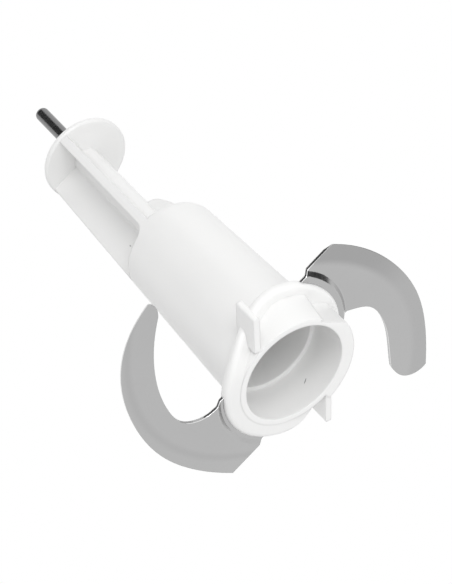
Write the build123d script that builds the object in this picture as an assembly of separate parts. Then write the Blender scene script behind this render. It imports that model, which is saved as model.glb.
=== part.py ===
from build123d import *
import os
from math import cos, radians, sin

# Drive socket at the low end
bore_radius = 17.0
bore_depth = 14.6
bore_ledge = 1.4
# Hub body, one slight taper from the rim to the disc
rim_radius = 19.0
hub_height = 126.4
hub_top_radius = 14.9
# Hollow barrel with a rounded shoulder on the open side of the shaft
cavity_height = 63.0
cavity_top_radius = 13.2
shoulder_height = 74.5
shoulder_round = 6.0
# Ribbed upper shaft
core_radius = 4.6
core_round = 3.0
rib_thickness = 3.0
recess_floor = 69.0
recess_round = 4.0
gusset_reach = 10.4
gusset_height = 90.4
gusset_foot = 12.0
# Top disc
disc_radius = 15.4
disc_thickness = 2.2
disc_chamfer = 0.6
# Blade roots, held in the flange
blade_thickness = 1.0
root_radius = 19.8
root_grip = 4.3
anchor_hole_radius = 1.3
anchor_hole_inset = 2.2
anchor_hole_angle = 16.0
anchor_middle = 4.0
# Flange that climbs from the low blade to the high blade
flange_radius = root_radius + root_grip
flange_thickness = 3.6
flange_round = 1.5
flange_rise = 10.3
flange_lift = 0.15
ramp_share = 0.66
low_level = flange_lift + flange_thickness / 2
high_level = low_level + flange_rise
# Collar under the high side, a leaning cone that widens towards the flange
collar_lean = 2.7
collar_top_radius = 18.1
collar_end = -25.5
wall_overlap = 1.5
# Thick quarter beside the collar, with a slanted notch between the two
quarter_radius = 21.4
quarter_start = 4.0
quarter_end = 87.0
notch_radius = 18.15
notch_angle = -20.0
# Two leaning fins
fin_reach = 30.4
fin_angle = 8.6
fin_lean = 24.0
fin_length = 13.0
fin_thickness = 2.1
fin_bottom = 0.4
fin_top = 9.6
fin_round = 0.6
# Sickle blades, ground on the upper side of the outer edge
blade_sweep = 72.3
heel_cut = 12.6
joggle_run = 1.6
joggle_gap = 1.9
high_joggle = 1.6
low_joggle = -1.2
bend_radius = 0.7
grind_width = 2.4
grind_depth = 0.85
# Spindle pin with a thicker grip inside the hub
pin_radius = 2.5
pin_length = 60.0
pin_stand = 31.4
pin_chamfer = 0.7
grip_step = 0.3


def polar(radius, angle):
    return (radius * cos(radians(angle)), radius * sin(radians(angle)))


def flange_level(angle):
    lean = max(-1.0, min(1.0, cos(radians(angle)) / ramp_share))
    share = 0.5 + 0.75 * lean - 0.25 * lean**3
    return low_level + flange_rise * share


def upright(radius, bottom, height):
    return Pos(0, 0, bottom) * Cylinder(radius, height, align=(Align.CENTER, Align.CENTER, Align.MIN))


def spun(points):
    return revolve(make_face(Polyline(points, close=True)), Axis.Z)


def envelope():
    return spun([(0, 0, 0), (rim_radius, 0, 0), (hub_top_radius, 0, hub_height), (0, 0, hub_height)])


def left_recess(side):
    reach = 2 * rim_radius
    half = rib_thickness / 2
    height = hub_height - recess_floor
    middle = Pos(-half - reach / 2, side * (half + reach / 2), recess_floor + height / 2)
    block = middle * Box(reach, reach, height)
    by_rib = block.edges().filter_by(lambda e: abs(e.center().X + half) < 0.1)
    by_wing = block.edges().filter_by(lambda e: abs(e.center().Y - side * half) < 0.1)
    corner = by_rib.filter_by(Axis.Z).filter_by(lambda e: abs(e.center().Y - side * half) < 0.1)
    floor = by_rib.group_by(Axis.Z)[0] + by_wing.group_by(Axis.Z)[0]
    return fillet(corner + floor, recess_round)


def right_recess():
    reach = 2 * rim_radius
    height = hub_height - shoulder_height
    middle = Pos(rib_thickness / 2 + reach / 2, 0, shoulder_height + height / 2)
    return middle * Box(reach, 2 * reach, height)


def core():
    section = Rectangle(rib_thickness, 2 * (core_radius + core_round)) + Circle(core_radius)
    inner = section.vertices().filter_by(lambda v: abs(v.Y) < core_radius)
    section = fillet(inner, core_round)
    return Pos(0, 0, cavity_height) * extrude(section, hub_height - cavity_height)


def gusset():
    foot = shoulder_height - shoulder_round
    rise = foot + gusset_foot
    crest = core_radius - 0.2 * rib_thickness
    knee = (gusset_reach - 0.45 * rib_thickness, 0, rise + 0.5 * (gusset_height - rise))
    outer = Spline((gusset_reach, 0, rise), knee, (crest, 0, gusset_height), tangents=[(0, 0, 1), (-1, 0, 0.1)])
    sides = Polyline((crest, 0, gusset_height), (0, 0, gusset_height), (0, 0, foot),
                     (gusset_reach, 0, foot), (gusset_reach, 0, rise))
    return extrude(make_face([outer, sides]), rib_thickness / 2, dir=(0, 1, 0), both=True)


def disc():
    plate = upright(disc_radius, hub_height, disc_thickness)
    return chamfer(plate.edges().filter_by(GeomType.CIRCLE), disc_chamfer)


def upper_shaft():
    body = envelope() - right_recess()
    rounds = body.edges().filter_by(GeomType.CIRCLE)
    rim = rounds.filter_by_position(Axis.Z, shoulder_height - 0.1, shoulder_height + 0.1)
    body = fillet(rim, shoulder_round) - left_recess(1) - left_recess(-1)
    return body + core() + gusset() + disc()


def flange_line(radius):
    places = range(0, 360, 20)
    points = [(*polar(radius, angle), flange_level(angle)) for angle in places]
    return Spline(points, periodic=True)


def flange():
    sheet = Face.make_surface_from_curves(flange_line(rim_radius - wall_overlap), flange_line(flange_radius))
    ring = Pos(0, 0, -flange_thickness / 2) * extrude(sheet, flange_thickness, dir=(0, 0, 1))
    outer = ring.edges().sort_by(lambda e: e.length)[-2:]
    return fillet(outer, flange_round)


def collar():
    top = high_level - flange_thickness / 2
    shift = polar(collar_lean, collar_end)
    return loft([Circle(rim_radius), Pos(*shift, top) * Circle(collar_top_radius)])


def quarter():
    inner = rim_radius - wall_overlap
    outline = [(inner, 0, 0), (quarter_radius, 0, 0), (quarter_radius, 0, high_level), (inner, 0, high_level)]
    ring = revolve(make_face(Polyline(outline, close=True)), Axis.Z, quarter_end - collar_end)
    return Rot(0, 0, collar_end) * ring


def notch():
    far = 2 * quarter_radius
    corners = [polar(notch_radius, collar_end), polar(far, collar_end), polar(far, quarter_start)]
    corners = corners + [polar(quarter_radius, quarter_start), polar(notch_radius, notch_angle)]
    return extrude(make_face(Polyline(corners, close=True)), high_level - flange_thickness / 2)


def fin(angle):
    height = fin_top - fin_bottom
    plate = Pos(-fin_length / 2, 0, fin_bottom + height / 2) * Box(fin_length, fin_thickness, height)
    plate = fillet(plate.edges().filter_by(Axis.Z).group_by(Axis.X)[-1], fin_round)
    return Rot(0, 0, angle) * Pos(fin_reach, 0, 0) * Rot(0, 0, fin_lean) * plate


def hollow():
    wide = bore_radius - bore_ledge
    cone = [(0, 0, bore_depth), (wide, 0, bore_depth), (cavity_top_radius, 0, cavity_height), (0, 0, cavity_height)]
    return upright(bore_radius, 0, bore_depth) + spun(cone)


def joggled_sheet(level, joggle, joggle_start):
    low = level - blade_thickness / 2
    far = 1.2 * blade_sweep
    end = joggle_start + joggle_run
    under = [(root_radius, 0, low), (joggle_start, 0, low), (end, 0, low + joggle), (far, 0, low + joggle)]
    over = [(x, y, z + blade_thickness) for x, y, z in reversed(under)]
    profile = make_face(Polyline(under + over, close=True))
    bends = profile.vertices().filter_by(lambda v: root_radius < v.X - 0.1 and v.X < far - 0.1)
    return revolve(fillet(bends, bend_radius), Axis.Z)


def scaled(shares):
    return [(x * blade_sweep, y * blade_sweep) for x, y in shares]


def blade(outer, tip, inner, level, joggle, joggle_start):
    outer = scaled(outer)
    tip = scaled(tip)
    inner = scaled(inner)
    heel = (outer[0][0], -heel_cut)
    edge = Spline(heel, *outer[1:])
    end = Spline(outer[-1], *tip)
    hook = Spline(tip[-1], *inner)
    inside = 0.6 * root_radius
    root = Polyline(inner[-1], (inside, 0.9 * inner[-1][1]), (inside, -heel_cut), heel)
    solid = extrude(make_face([edge, end, hook, root]), 2 * high_level, both=True)
    solid = solid & joggled_sheet(level, joggle, joggle_start)
    upper = solid.faces().filter_by(Axis.Z).sort_by(lambda f: f.area)[-2:].sort_by(Axis.Z)[-1]
    ground = upper.edges().sort_by(lambda e: e.length)[-1]
    solid = chamfer(ground, grind_width, grind_depth, reference=upper)
    for side in (-1, 1):
        turn = Rot(0, 0, anchor_middle + side * anchor_hole_angle)
        place = turn * Pos(root_radius + anchor_hole_inset, 0, level)
        solid = solid - place * Cylinder(anchor_hole_radius, 4 * blade_thickness)
    return solid


def high_blade():
    outer = [(0.484, -0.174), (0.559, -0.025), (0.613, 0.221), (0.595, 0.503), (0.499, 0.752), (0.405, 0.914)]
    tip = [(0.358, 0.910), (0.302, 0.863), (0.284, 0.797), (0.290, 0.728)]
    inner = [(0.365, 0.574), (0.418, 0.401), (0.404, 0.292), (0.367, 0.245), (0.331, 0.210)]
    return blade(outer, tip, inner, high_level, high_joggle, flange_radius + joggle_gap)


def low_blade():
    outer = [(0.485, -0.174), (0.566, 0.037), (0.596, 0.209), (0.550, 0.542), (0.427, 0.780), (0.158, 0.939)]
    tip = [(0.149, 0.905), (0.173, 0.845)]
    inner = [(0.261, 0.757), (0.371, 0.593), (0.436, 0.404), (0.432, 0.285), (0.383, 0.227), (0.342, 0.209)]
    flat = blade(outer, tip, inner, low_level, low_joggle, flange_radius + joggle_gap - blade_thickness)
    return Rot(0, 0, 180) * flat


def spindle_pin():
    shoulder = hub_height + disc_thickness
    grip_length = pin_length - pin_stand
    grip = upright(pin_radius + grip_step, shoulder - grip_length, grip_length)
    rod = upright(pin_radius, shoulder, pin_stand)
    rod = chamfer(rod.edges().filter_by(GeomType.CIRCLE).sort_by(Axis.Z)[-1], pin_chamfer)
    return grip + rod


def foot():
    body = collar() + quarter() - notch()
    return body + flange() + fin(270 + fin_angle) + fin(90 + fin_angle)


def hub(inserts):
    body = upper_shaft() - notch() + foot() - hollow()
    for piece in inserts:
        body = body - piece
    return body


os.makedirs("parts", exist_ok=True)
low = low_blade()
high = high_blade()
pin = spindle_pin()
body = hub([low, high, pin])
export_step(low, "parts/low_blade.step")
export_step(high, "parts/high_blade.step")
export_step(pin, "parts/spindle_pin.step")
export_step(body, "parts/hub.step")
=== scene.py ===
from math import cos, radians, sin
import bpy
from mathutils import Matrix, Vector


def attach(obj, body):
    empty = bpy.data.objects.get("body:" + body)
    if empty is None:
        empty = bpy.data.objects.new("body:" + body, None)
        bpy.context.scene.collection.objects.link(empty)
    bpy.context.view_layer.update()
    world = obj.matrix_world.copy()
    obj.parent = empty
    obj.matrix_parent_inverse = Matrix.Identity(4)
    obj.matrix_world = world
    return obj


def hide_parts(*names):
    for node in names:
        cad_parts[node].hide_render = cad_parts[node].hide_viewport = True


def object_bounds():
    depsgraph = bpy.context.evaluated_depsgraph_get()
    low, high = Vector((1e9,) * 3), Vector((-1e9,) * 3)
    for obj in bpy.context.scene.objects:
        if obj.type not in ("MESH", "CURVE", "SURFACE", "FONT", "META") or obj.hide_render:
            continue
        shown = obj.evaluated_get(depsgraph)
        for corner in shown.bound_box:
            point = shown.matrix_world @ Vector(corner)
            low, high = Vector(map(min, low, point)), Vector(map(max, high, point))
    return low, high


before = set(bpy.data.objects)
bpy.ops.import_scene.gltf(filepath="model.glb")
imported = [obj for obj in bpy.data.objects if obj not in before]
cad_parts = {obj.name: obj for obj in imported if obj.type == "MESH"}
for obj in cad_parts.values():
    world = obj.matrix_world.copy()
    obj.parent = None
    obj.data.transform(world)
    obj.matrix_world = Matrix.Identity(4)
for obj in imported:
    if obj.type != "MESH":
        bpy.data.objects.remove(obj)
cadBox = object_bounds()
scene = bpy.context.scene
scene.view_settings.view_transform = "Standard"
print("frame loaded:", sorted(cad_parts))


def addNode(tree, kind, place, **values):
    node = tree.nodes.new(kind)
    node.location = place
    for name, value in values.items():
        setattr(node, name, value)
    return node


def setSockets(node, **values):
    for name, value in values.items():
        node.inputs[name.replace("_", " ")].default_value = value


def newGroup(name, inputs, outputs):
    group = bpy.data.node_groups.new(name, "ShaderNodeTree")
    for label, kind, value in inputs:
        socket = group.interface.new_socket(label, in_out="INPUT", socket_type=kind)
        if value is not None:
            socket.default_value = value
    for label, kind in outputs:
        group.interface.new_socket(label, in_out="OUTPUT", socket_type=kind)
    start = addNode(group, "NodeGroupInput", (-900, 0))
    end = addNode(group, "NodeGroupOutput", (700, 0))
    return group, start, end


def placeGroup(tree, group, place, **values):
    node = addNode(tree, "ShaderNodeGroup", place, node_tree=group)
    setSockets(node, **values)
    return node


noiseLook = {"fineDetail": 3.0, "fineRoughness": 0.6, "cloudDetail": 4.0, "cloudRoughness": 0.55}


# fine grain, stretched by one vector, over a slow cloudiness
def makeGrainGroup():
    group, start, end = newGroup(
        "surfaceGrain",
        [("Vector", "NodeSocketVector", None), ("Stretch", "NodeSocketVector", (1, 1, 1)),
         ("Grain Scale", "NodeSocketFloat", 900.0), ("Cloud Scale", "NodeSocketFloat", 40.0),
         ("Cloud Share", "NodeSocketFloat", 0.5)],
        [("Value", "NodeSocketFloat"), ("Height", "NodeSocketFloat")])
    stretch = addNode(group, "ShaderNodeVectorMath", (-650, 150), operation="MULTIPLY")
    fine = addNode(group, "ShaderNodeTexNoise", (-400, 200))
    cloud = addNode(group, "ShaderNodeTexNoise", (-400, -150))
    mix = addNode(group, "ShaderNodeMix", (100, 0))
    setSockets(fine, Detail=noiseLook["fineDetail"], Roughness=noiseLook["fineRoughness"])
    setSockets(cloud, Detail=noiseLook["cloudDetail"], Roughness=noiseLook["cloudRoughness"])
    links = group.links
    links.new(start.outputs["Vector"], stretch.inputs[0])
    links.new(start.outputs["Stretch"], stretch.inputs[1])
    links.new(stretch.outputs[0], fine.inputs["Vector"])
    links.new(start.outputs["Vector"], cloud.inputs["Vector"])
    links.new(start.outputs["Grain Scale"], fine.inputs["Scale"])
    links.new(start.outputs["Cloud Scale"], cloud.inputs["Scale"])
    links.new(start.outputs["Cloud Share"], mix.inputs["Factor"])
    links.new(fine.outputs["Fac"], mix.inputs["A"])
    links.new(cloud.outputs["Fac"], mix.inputs["B"])
    links.new(mix.outputs["Result"], end.inputs["Value"])
    links.new(fine.outputs["Fac"], end.inputs["Height"])
    return group


bevelSamples = 8
sideFrom = 0.1
sideFull = 0.3


# edges found by comparing the face normal with a rounded one, and those of them that face one side; the
# finish lays a painted highlight on them
def makeEdgeGroup():
    group, start, end = newGroup(
        "roundedEdges",
        [("Radius", "NodeSocketFloat", 0.0004), ("Sharpness", "NodeSocketFloat", 6.0),
         ("Side", "NodeSocketVector", (0, 0, 1))],
        [("Mask", "NodeSocketFloat"), ("Lit Side Mask", "NodeSocketFloat"), ("Normal", "NodeSocketVector")])
    bevel = addNode(group, "ShaderNodeBevel", (-500, 100), samples=bevelSamples)
    shape = addNode(group, "ShaderNodeNewGeometry", (-500, -150))
    agree = addNode(group, "ShaderNodeVectorMath", (-250, 0), operation="DOT_PRODUCT")
    differ = addNode(group, "ShaderNodeMath", (0, 0), operation="SUBTRACT")
    gain = addNode(group, "ShaderNodeMath", (250, 0), operation="MULTIPLY", use_clamp=True)
    facing = addNode(group, "ShaderNodeVectorMath", (-250, -250), operation="DOT_PRODUCT")
    turned = addNode(group, "ShaderNodeMapRange", (0, -250))
    chosen = addNode(group, "ShaderNodeMath", (450, -150), operation="MULTIPLY")
    differ.inputs[0].default_value = 1.0
    setSockets(turned, From_Min=sideFrom, From_Max=sideFull)
    links = group.links
    links.new(start.outputs["Radius"], bevel.inputs["Radius"])
    links.new(bevel.outputs["Normal"], agree.inputs[0])
    links.new(shape.outputs["Normal"], agree.inputs[1])
    links.new(agree.outputs["Value"], differ.inputs[1])
    links.new(differ.outputs[0], gain.inputs[0])
    links.new(start.outputs["Sharpness"], gain.inputs[1])
    links.new(bevel.outputs["Normal"], facing.inputs[0])
    links.new(start.outputs["Side"], facing.inputs[1])
    links.new(facing.outputs["Value"], turned.inputs["Value"])
    links.new(gain.outputs[0], chosen.inputs[0])
    links.new(turned.outputs["Result"], chosen.inputs[1])
    links.new(chosen.outputs[0], end.inputs["Lit Side Mask"])
    links.new(gain.outputs[0], end.inputs["Mask"])
    links.new(bevel.outputs["Normal"], end.inputs["Normal"])
    return group


lineReach = 1.4
bandFade = {"start": 0.005, "end": 0.03, "least": 0.3}


# mask for a painted reflection: the part of a blade beyond a circle round a given centre, fading along the
# blade and the soft line where it begins
# the blades are half a turn apart, so the side of X turns one onto the other
def makeBendReflectionGroup():
    group, start, end = newGroup(
        "paintedBendReflection",
        [("Vector", "NodeSocketVector", None), ("Centre", "NodeSocketVector", (0, 0, 0)),
         ("Radius", "NodeSocketFloat", 0.05), ("Softness", "NodeSocketFloat", 0.003)],
        [("Band", "NodeSocketFloat"), ("Line", "NodeSocketFloat"), ("High Side", "NodeSocketFloat")])
    parts = addNode(group, "ShaderNodeSeparateXYZ", (-750, -200))
    side = addNode(group, "ShaderNodeMath", (-600, -200), operation="SIGN")
    turned = addNode(group, "ShaderNodeVectorMath", (-600, 100), operation="SCALE")
    flat = addNode(group, "ShaderNodeVectorMath", (-450, 100), operation="MULTIPLY")
    reach = addNode(group, "ShaderNodeVectorMath", (-300, 100), operation="DISTANCE")
    beyond = addNode(group, "ShaderNodeMath", (-150, 100), operation="SUBTRACT")
    share = addNode(group, "ShaderNodeMath", (0, 100), operation="DIVIDE")
    band = addNode(group, "ShaderNodeMapRange", (200, 200), interpolation_type="SMOOTHSTEP")
    near = addNode(group, "ShaderNodeMath", (200, -100), operation="ABSOLUTE")
    line = addNode(group, "ShaderNodeMapRange", (400, -100), interpolation_type="SMOOTHSTEP")
    high = addNode(group, "ShaderNodeMath", (200, -350), operation="GREATER_THAN")
    along = addNode(group, "ShaderNodeMath", (-450, -350), operation="MULTIPLY")
    fade = addNode(group, "ShaderNodeMapRange", (-250, -350), interpolation_type="SMOOTHSTEP")
    faded = addNode(group, "ShaderNodeMath", (450, 200), operation="MULTIPLY")
    flat.inputs[1].default_value = (1, 1, 0)
    high.inputs[1].default_value = 0.0
    setSockets(band, From_Min=-1.0, From_Max=1.0)
    setSockets(line, From_Min=0.0, From_Max=lineReach, To_Min=1.0, To_Max=0.0)
    setSockets(fade, From_Min=bandFade["start"], From_Max=bandFade["end"],
               To_Min=1.0, To_Max=bandFade["least"])
    links = group.links
    links.new(start.outputs["Vector"], parts.inputs[0])
    links.new(parts.outputs["X"], side.inputs[0])
    links.new(parts.outputs["X"], high.inputs[0])
    links.new(start.outputs["Vector"], turned.inputs[0])
    links.new(side.outputs[0], turned.inputs["Scale"])
    links.new(turned.outputs[0], flat.inputs[0])
    links.new(flat.outputs[0], reach.inputs[0])
    links.new(start.outputs["Centre"], reach.inputs[1])
    links.new(reach.outputs["Value"], beyond.inputs[0])
    links.new(start.outputs["Radius"], beyond.inputs[1])
    links.new(beyond.outputs[0], share.inputs[0])
    links.new(start.outputs["Softness"], share.inputs[1])
    links.new(share.outputs[0], band.inputs["Value"])
    links.new(share.outputs[0], near.inputs[0])
    links.new(near.outputs[0], line.inputs["Value"])
    links.new(parts.outputs["Y"], along.inputs[0])
    links.new(side.outputs[0], along.inputs[1])
    links.new(along.outputs[0], fade.inputs["Value"])
    links.new(band.outputs["Result"], faded.inputs[0])
    links.new(fade.outputs["Result"], faded.inputs[1])
    links.new(faded.outputs[0], end.inputs["Band"])
    links.new(line.outputs["Result"], end.inputs["Line"])
    links.new(high.outputs[0], end.inputs["High Side"])
    return group


markCore = 0.2


# a small mark along the line between two points
def makeMarkGroup():
    group, start, end = newGroup(
        "smallMark",
        [("Vector", "NodeSocketVector", None), ("From", "NodeSocketVector", (0, 0, 0)),
         ("To", "NodeSocketVector", (0, 0, 0.001)), ("Width", "NodeSocketFloat", 0.0003)],
        [("Mask", "NodeSocketFloat")])
    first = addNode(group, "ShaderNodeVectorMath", (-600, 200), operation="DISTANCE")
    second = addNode(group, "ShaderNodeVectorMath", (-600, 0), operation="DISTANCE")
    length = addNode(group, "ShaderNodeVectorMath", (-600, -200), operation="DISTANCE")
    both = addNode(group, "ShaderNodeMath", (-400, 100), operation="ADD")
    over = addNode(group, "ShaderNodeMath", (-200, 0), operation="SUBTRACT")
    share = addNode(group, "ShaderNodeMath", (0, 0), operation="DIVIDE")
    mask = addNode(group, "ShaderNodeMapRange", (200, 0), interpolation_type="SMOOTHSTEP")
    setSockets(mask, From_Min=markCore, From_Max=1.0, To_Min=1.0, To_Max=0.0)
    links = group.links
    links.new(start.outputs["Vector"], first.inputs[0])
    links.new(start.outputs["From"], first.inputs[1])
    links.new(start.outputs["Vector"], second.inputs[0])
    links.new(start.outputs["To"], second.inputs[1])
    links.new(start.outputs["From"], length.inputs[0])
    links.new(start.outputs["To"], length.inputs[1])
    links.new(first.outputs["Value"], both.inputs[0])
    links.new(second.outputs["Value"], both.inputs[1])
    links.new(both.outputs[0], over.inputs[0])
    links.new(length.outputs["Value"], over.inputs[1])
    links.new(over.outputs[0], share.inputs[0])
    links.new(start.outputs["Width"], share.inputs[1])
    links.new(share.outputs[0], mask.inputs["Value"])
    links.new(mask.outputs["Result"], end.inputs["Mask"])
    return group


grainGroup = makeGrainGroup()
edgeGroup = makeEdgeGroup()
bendReflectionGroup = makeBendReflectionGroup()
markGroup = makeMarkGroup()


grainSpread = (0.3, 0.7)


# one finish: two tones by grain, a painted highlight on the edges, roughness between two values and a light
# bump
def makeFinish(name, look):
    material = bpy.data.materials.new(name)
    material.use_nodes = True
    tree = material.node_tree
    shader = tree.nodes["Principled BSDF"]
    coords = addNode(tree, "ShaderNodeTexCoord", (-1300, 0))
    grain = placeGroup(tree, grainGroup, (-1050, 0), Stretch=look["stretch"], Grain_Scale=look["grainScale"],
                       Cloud_Scale=look["cloudScale"], Cloud_Share=look["cloudShare"])
    edges = placeGroup(tree, edgeGroup, (-1050, -350), Radius=look["edgeRadius"],
                       Sharpness=look["edgeSharpness"])
    highlightMask = edges.outputs["Mask"]
    if "highlightSide" in look:
        setSockets(edges, Side=look["highlightSide"])
        highlightMask = edges.outputs["Lit Side Mask"]
    tone = addNode(tree, "ShaderNodeMix", (-700, 200), data_type="RGBA")
    edgeHighlight = addNode(tree, "ShaderNodeMix", (-400, 200), data_type="RGBA")
    rough = addNode(tree, "ShaderNodeMapRange", (-700, -50))
    bump = addNode(tree, "ShaderNodeBump", (-400, -300))
    tone.inputs["A"].default_value = (*look["lowTone"], 1)
    tone.inputs["B"].default_value = (*look["highTone"], 1)
    # painted highlight: the edges, or on the blades only the edges that face one side, take a lighter tone as
    # rounded edges catching light would
    edgeHighlight.inputs["B"].default_value = (*look["edgeHighlightTone"], 1)
    setSockets(rough, From_Min=grainSpread[0], From_Max=grainSpread[1],
               To_Min=look["roughness"][0], To_Max=look["roughness"][1])
    setSockets(bump, Strength=look["bumpStrength"], Distance=look["bumpDistance"])
    setSockets(shader, Metallic=look["metallic"], IOR=look["ior"], Subsurface_Weight=look["through"],
               Subsurface_Scale=look["depth"], Subsurface_Radius=(1, 1, 1))
    links = tree.links
    links.new(coords.outputs["Object"], grain.inputs["Vector"])
    links.new(grain.outputs["Value"], tone.inputs["Factor"])
    links.new(grain.outputs["Value"], rough.inputs["Value"])
    links.new(grain.outputs["Height"], bump.inputs["Height"])
    links.new(tone.outputs["Result"], edgeHighlight.inputs["A"])
    links.new(highlightMask, edgeHighlight.inputs["Factor"])
    links.new(edges.outputs["Normal"], bump.inputs["Normal"])
    links.new(edgeHighlight.outputs["Result"], shader.inputs["Base Color"])
    links.new(rough.outputs["Result"], shader.inputs["Roughness"])
    links.new(bump.outputs["Normal"], shader.inputs["Normal"])
    return material


# puts one more tone over a finish where the mask is on
def overlay(material, mask, tone, share):
    tree = material.node_tree
    shader = tree.nodes["Principled BSDF"]
    under = shader.inputs["Base Color"].links[0].from_socket
    amount = addNode(tree, "ShaderNodeMath", (-350, 500), operation="MULTIPLY")
    over = addNode(tree, "ShaderNodeMix", (-150, 400), data_type="RGBA")
    amount.inputs[1].default_value = share
    over.inputs["B"].default_value = (*tone, 1)
    tree.links.new(mask, amount.inputs[0])
    tree.links.new(amount.outputs[0], over.inputs["Factor"])
    tree.links.new(under, over.inputs["A"])
    tree.links.new(over.outputs["Result"], shader.inputs["Base Color"])


def addMarks(material, marks):
    tree = material.node_tree
    coords = tree.nodes["Texture Coordinate"]
    for look in marks:
        mark = placeGroup(tree, markGroup, (-700, 600), From=look["from"], To=look["to"], Width=look["width"])
        tree.links.new(coords.outputs["Object"], mark.inputs["Vector"])
        overlay(material, mark.outputs["Mask"], look["tone"], look["share"])


# painted reflection: the high blade is darker in a band, standing in for the reflection of its bent ground
# face, and the low blade gets only the soft line of it
def addBendReflection(material, look):
    tree = material.node_tree
    coords = tree.nodes["Texture Coordinate"]
    band = placeGroup(tree, bendReflectionGroup, (-900, 700), Centre=look["centre"], Radius=look["radius"],
                      Softness=look["softness"])
    faint = addNode(tree, "ShaderNodeMath", (-750, 700), operation="MULTIPLY")
    choose = addNode(tree, "ShaderNodeMix", (-600, 700))
    faint.inputs[1].default_value = look["lineShare"]
    tree.links.new(coords.outputs["Object"], band.inputs["Vector"])
    tree.links.new(band.outputs["High Side"], choose.inputs["Factor"])
    tree.links.new(band.outputs["Line"], faint.inputs[0])
    tree.links.new(faint.outputs[0], choose.inputs["A"])
    tree.links.new(band.outputs["Band"], choose.inputs["B"])
    overlay(material, choose.outputs["Result"], look["tone"], look["share"])


# each look's edge tone is a painted highlight on the edges
hubLook = {
    "lowTone": (0.85, 0.85, 0.845), "highTone": (0.89, 0.89, 0.885), "edgeHighlightTone": (0.92, 0.92, 0.92),
    "stretch": (1, 1, 1), "grainScale": 1400.0, "cloudScale": 35.0, "cloudShare": 0.7,
    "edgeRadius": 0.0007, "edgeSharpness": 2.0, "roughness": (0.28, 0.42),
    "bumpStrength": 0.05, "bumpDistance": 0.0002, "metallic": 0.0, "ior": 1.5,
    "depth": 0.0015, "through": 0.3,
}
hubMarks = [
    {"from": (-0.0011, 0.01696, 0.0073), "to": (0.0004, 0.01699, 0.0082), "width": 0.00005,
     "tone": (0.12, 0.12, 0.12), "share": 0.85},
    {"from": (-0.0093, -0.0015, 0.0820), "to": (-0.0093, -0.0015, 0.0828), "width": 0.00025,
     "tone": (0.35, 0.35, 0.35), "share": 0.7},
]
bladeLook = {
    "lowTone": (0.43, 0.43, 0.43), "highTone": (0.49, 0.49, 0.49), "edgeHighlightTone": (0.92, 0.92, 0.92),
    "stretch": (0.12, 1, 1), "grainScale": 2200.0, "cloudScale": 25.0, "cloudShare": 0.75,
    "edgeRadius": 0.0004, "edgeSharpness": 9.0, "highlightSide": (0, -1, 0), "roughness": (0.15, 0.22),
    "bumpStrength": 0.02, "bumpDistance": 0.0001, "metallic": 1.0, "ior": 1.5,
    "depth": 0.0, "through": 0.0,
}
# tones of the painted reflection on the blades
bladeBendReflection = {
    "centre": (-0.0175, 0.0228, 0.0), "radius": 0.0569, "softness": 0.0015,
    "tone": (0.33, 0.33, 0.33), "share": 0.75, "lineShare": 0.3,
}
pinLook = {
    "lowTone": (0.21, 0.21, 0.212), "highTone": (0.25, 0.25, 0.252), "edgeHighlightTone": (0.5, 0.5, 0.5),
    "stretch": (0.1, 0.1, 1), "grainScale": 2600.0, "cloudScale": 120.0, "cloudShare": 0.4,
    "edgeRadius": 0.0003, "edgeSharpness": 2.0, "roughness": (0.22, 0.28),
    "bumpStrength": 0.02, "bumpDistance": 0.0001, "metallic": 1.0, "ior": 1.5,
    "depth": 0.0, "through": 0.0,
}


def dress(node, material):
    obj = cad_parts[node]
    obj.data.materials.clear()
    obj.data.materials.append(material)


whitePlastic = makeFinish("whitePlastic", hubLook)
addMarks(whitePlastic, hubMarks)
dress("hub", whitePlastic)
bladeSteel = makeFinish("bladeSteel", bladeLook)
addBendReflection(bladeSteel, bladeBendReflection)
dress("low_blade", bladeSteel)
dress("high_blade", bladeSteel)
pinSteel = makeFinish("pinSteel", pinLook)
print("finishes set")

# the pin is turned: one radius for every level, wider in the hub and domed at the tip
# its shoulder stays just under the top of the disc
pinShape = {
    "Bottom": 0.1, "Top": 0.16, "Shoulder": 0.128, "Radius": 0.0025, "Grip Radius": 0.0028,
    "Tip Length": 0.0014, "Tip Curve": 0.8,
}
pinSides = 64
pinLevels = 150


def addMath(tree, operation, first, second, place):
    node = addNode(tree, "ShaderNodeMath", place, operation=operation)
    for socket, value in zip(node.inputs, (first, second)):
        if isinstance(value, (int, float)):
            socket.default_value = value
        elif value is not None:
            tree.links.new(value, socket)
    return node.outputs[0]


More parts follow.
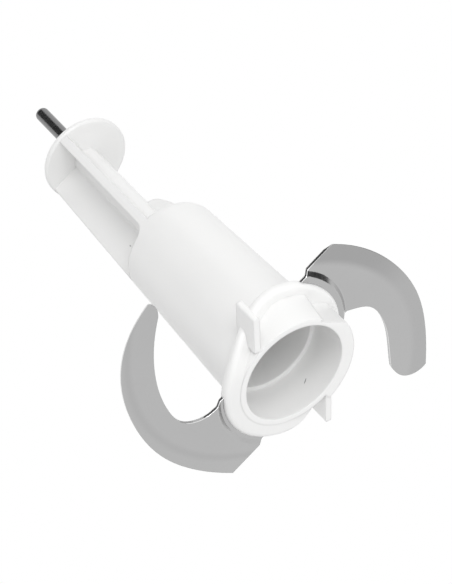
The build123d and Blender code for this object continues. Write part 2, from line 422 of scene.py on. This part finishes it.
def makePinTree():
    tree = bpy.data.node_groups.new("turnedPin", "GeometryNodeTree")
    tree.interface.new_socket("Geometry", in_out="INPUT", socket_type="NodeSocketGeometry")
    for label in pinShape:
        tree.interface.new_socket(label, in_out="INPUT", socket_type="NodeSocketFloat")
    tree.interface.new_socket("Material", in_out="INPUT", socket_type="NodeSocketMaterial")
    tree.interface.new_socket("Geometry", in_out="OUTPUT", socket_type="NodeSocketGeometry")
    start = addNode(tree, "NodeGroupInput", (-1400, 0))
    end = addNode(tree, "NodeGroupOutput", (1200, 0))
    given = start.outputs
    rod = addNode(tree, "GeometryNodeMeshCylinder", (200, 300), fill_type="TRIANGLE_FAN")
    setSockets(rod, Vertices=pinSides, Side_Segments=pinLevels, Radius=1.0)
    place = addNode(tree, "GeometryNodeInputPosition", (-1400, -300))
    parts = addNode(tree, "ShaderNodeSeparateXYZ", (-1200, -300))
    length = addMath(tree, "SUBTRACT", given["Top"], given["Bottom"], (-1000, 300))
    double = addMath(tree, "ADD", given["Top"], given["Bottom"], (-1000, 100))
    half = addMath(tree, "MULTIPLY", double, 0.5, (-800, 100))
    level = addMath(tree, "ADD", parts.outputs["Z"], half, (-600, 0))
    left = addMath(tree, "SUBTRACT", given["Top"], level, (-400, 0))
    share = addMath(tree, "DIVIDE", left, given["Tip Length"], (-200, 0))
    near = addMath(tree, "MINIMUM", share, 1.0, (0, 0))
    gone = addMath(tree, "SUBTRACT", 1.0, near, (150, 0))
    bend = addMath(tree, "MULTIPLY", gone, given["Tip Curve"], (300, 0))
    square = addMath(tree, "MULTIPLY", bend, bend, (450, 0))
    rest = addMath(tree, "SUBTRACT", 1.0, square, (600, 0))
    dome = addMath(tree, "SQRT", rest, None, (750, 0))
    bare = addMath(tree, "MULTIPLY", dome, given["Radius"], (900, 0))
    inside = addMath(tree, "LESS_THAN", level, given["Shoulder"], (-400, -200))
    extra = addMath(tree, "SUBTRACT", given["Grip Radius"], given["Radius"], (-400, -400))
    swell = addMath(tree, "MULTIPLY", inside, extra, (-200, -300))
    radius = addMath(tree, "ADD", bare, swell, (0, -300))
    across = addMath(tree, "MULTIPLY", parts.outputs["X"], radius, (200, -300))
    along = addMath(tree, "MULTIPLY", parts.outputs["Y"], radius, (200, -500))
    joined = addNode(tree, "ShaderNodeCombineXYZ", (400, -400))
    moved = addNode(tree, "GeometryNodeSetPosition", (500, 300))
    smooth = addNode(tree, "GeometryNodeSetShadeSmooth", (650, 300))
    real = addNode(tree, "GeometryNodeRealizeInstances", (800, 300))
    paint = addNode(tree, "GeometryNodeSetMaterial", (1000, 300))
    links = tree.links
    links.new(place.outputs[0], parts.inputs[0])
    links.new(length, rod.inputs["Depth"])
    links.new(across, joined.inputs["X"])
    links.new(along, joined.inputs["Y"])
    links.new(level, joined.inputs["Z"])
    links.new(rod.outputs["Mesh"], moved.inputs["Geometry"])
    links.new(joined.outputs[0], moved.inputs["Position"])
    links.new(moved.outputs[0], smooth.inputs["Geometry"])
    links.new(smooth.outputs[0], real.inputs["Geometry"])
    links.new(real.outputs[0], paint.inputs["Geometry"])
    links.new(given["Material"], paint.inputs["Material"])
    links.new(paint.outputs[0], end.inputs["Geometry"])
    return tree


def makePin():
    tree = makePinTree()
    pin = bpy.data.objects.new("turnedPin", bpy.data.meshes.new("turnedPin"))
    scene.collection.objects.link(pin)
    modifier = pin.modifiers.new("turnedPin", "NODES")
    modifier.node_group = tree
    values = dict(pinShape, Material=pinSteel)
    for item in tree.interface.items_tree:
        if item.in_out == "INPUT" and item.name in values:
            modifier[item.identifier] = values[item.name]
    bpy.context.view_layer.update()
    graph = bpy.context.evaluated_depsgraph_get()
    plain = bpy.data.meshes.new_from_object(pin.evaluated_get(graph))
    pin.modifiers.clear()
    pin.data = plain
    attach(pin, "root")
    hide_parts("spindle_pin")
    return pin


pinPiece = makePin()
print("pin turned:", len(pinPiece.data.polygons), "faces")

# camera fitted to the photograph, below the rim and in front of it
cameraLook = {
    "right": (0.69002, 0.48637, -0.5361), "up": (0.72277, -0.42362, 0.546),
    "back": (0.03842, -0.76425, -0.6438),
    "place": (0.02305, -0.41279, -0.30695), "lens": 107.52, "sensor": 36.0,
}


def cameraTurn():
    return Matrix((cameraLook["right"], cameraLook["up"], cameraLook["back"])).transposed()


def makeCamera():
    data = bpy.data.cameras.new("camera")
    data.lens = cameraLook["lens"]
    data.sensor_width = cameraLook["sensor"]
    camera = bpy.data.objects.new("camera", data)
    scene.collection.objects.link(camera)
    camera.matrix_world = Matrix.Translation(cameraLook["place"]) @ cameraTurn().to_4x4()
    scene.camera = camera


makeCamera()

# lamps placed along the camera's own axes, or in the part's frame
lampLooks = {
    "key": {"seen": (0.06, 0.28, 0.74), "size": 0.4, "power": 2.0, "shine": True},
    "side": {"seen": (0.6, 0.3, 0.2), "size": 0.4, "power": 0.35, "shine": False},
    "low": {"seen": (0.45, -0.4, 0.6), "size": 0.4, "power": 0.8, "shine": False},
    "top": {"place": (0.3, -0.4, 0.8), "size": 0.6, "power": 0.4, "shine": False},
}
middle = Vector((0.0, 0.0, 0.06))


def makeLamp(name, look):
    data = bpy.data.lights.new(name, "AREA")
    data.shape = "DISK"
    data.size = look["size"]
    data.energy = look["power"]
    lamp = bpy.data.objects.new(name, data)
    scene.collection.objects.link(lamp)
    place = Vector(look["place"]) if "place" in look else middle + cameraTurn() @ Vector(look["seen"])
    lamp.location = place
    lamp.visible_glossy = look["shine"]
    lamp.rotation_euler = (middle - place).to_track_quat("-Z", "Y").to_euler()


for lampName, lampLook in lampLooks.items():
    makeLamp(lampName, lampLook)

# the room is full white to the camera, mirrors and clear surfaces, and dimmer as light on the part
worldLook = {"fill": 0.72, "shown": 1.0}


def makeWorld():
    world = bpy.data.worlds.new("whiteRoom")
    world.use_nodes = True
    scene.world = world
    tree = world.node_tree
    back = tree.nodes["Background"]
    rays = addNode(tree, "ShaderNodeLightPath", (-900, 0))
    seen = addNode(tree, "ShaderNodeMath", (-650, 100), operation="MAXIMUM")
    shown = addNode(tree, "ShaderNodeMath", (-450, 100), operation="MAXIMUM")
    strength = addNode(tree, "ShaderNodeMapRange", (-250, 100))
    setSockets(strength, To_Min=worldLook["fill"], To_Max=worldLook["shown"])
    back.inputs["Color"].default_value = (1, 1, 1, 1)
    links = tree.links
    links.new(rays.outputs["Is Camera Ray"], seen.inputs[0])
    links.new(rays.outputs["Is Glossy Ray"], seen.inputs[1])
    links.new(seen.outputs[0], shown.inputs[0])
    links.new(rays.outputs["Is Transmission Ray"], shown.inputs[1])
    links.new(shown.outputs[0], strength.inputs["Value"])
    links.new(strength.outputs["Result"], back.inputs["Strength"])


makeWorld()

floorLook = {"reach": 3.0, "drop": 0.0003, "tone": (0.9, 0.9, 0.9), "roughness": 0.8, "glow": 0.2}


# the floor shows only from above, so the view from below the rim sees past it
def makeFloor():
    reach = floorLook["reach"]
    level = cadBox[0][2] - floorLook["drop"]
    corners = [(-reach, -reach, level), (reach, -reach, level), (reach, reach, level), (-reach, reach, level)]
    mesh = bpy.data.meshes.new("floor")
    mesh.from_pydata(corners, [], [(0, 1, 2, 3)])
    floor = bpy.data.objects.new("floor", mesh)
    scene.collection.objects.link(floor)
    material = bpy.data.materials.new("paleFloor")
    material.use_nodes = True
    tree = material.node_tree
    shader = tree.nodes["Principled BSDF"]
    output = tree.nodes["Material Output"]
    side = addNode(tree, "ShaderNodeNewGeometry", (-300, 400))
    clear = addNode(tree, "ShaderNodeBsdfTransparent", (0, 400))
    choose = addNode(tree, "ShaderNodeMixShader", (300, 300))
    setSockets(shader, Roughness=floorLook["roughness"], Base_Color=(*floorLook["tone"], 1),
               Emission_Strength=floorLook["glow"], Emission_Color=(1, 1, 1, 1))
    tree.links.new(side.outputs["Backfacing"], choose.inputs["Fac"])
    tree.links.new(shader.outputs[0], choose.inputs[1])
    tree.links.new(clear.outputs[0], choose.inputs[2])
    tree.links.new(choose.outputs[0], output.inputs["Surface"])
    mesh.materials.append(material)
    for ray in ("diffuse", "glossy", "transmission", "shadow"):
        setattr(floor, "visible_" + ray, False)


# dark strips that only reflections see
# they darken the pin's middle, the cut edges and the high blade's bend
flagLooks = {
    "frontFlag": {"angles": (-142, -44), "levels": (0.25, 0.80), "radius": 0.4},
    "sideFlag": {"angles": (5, 44), "levels": (-0.19, -0.015), "radius": 0.4},
}
flagTone = (0.06, 0.06, 0.06)
flagSteps = 12


def makeFlags():
    material = bpy.data.materials.new("flagBlack")
    material.use_nodes = True
    shader = material.node_tree.nodes["Principled BSDF"]
    setSockets(shader, Roughness=1.0, Base_Color=(*flagTone, 1), Specular_IOR_Level=0.0)
    for name, look in flagLooks.items():
        first, last = look["angles"]
        turns = [radians(first + (last - first) * step / flagSteps) for step in range(flagSteps + 1)]
        ring = [(look["radius"] * cos(turn), look["radius"] * sin(turn)) for turn in turns]
        points = [(x, y, level) for level in look["levels"] for x, y in ring]
        faces = [(k, k + 1, k + flagSteps + 2, k + flagSteps + 1) for k in range(flagSteps)]
        mesh = bpy.data.meshes.new(name)
        mesh.from_pydata(points, [], faces)
        mesh.materials.append(material)
        flag = bpy.data.objects.new(name, mesh)
        scene.collection.objects.link(flag)
        for ray in ("camera", "diffuse", "transmission", "shadow", "volume_scatter"):
            setattr(flag, "visible_" + ray, False)


makeFloor()
makeFlags()
print("camera, lamps and floor set")
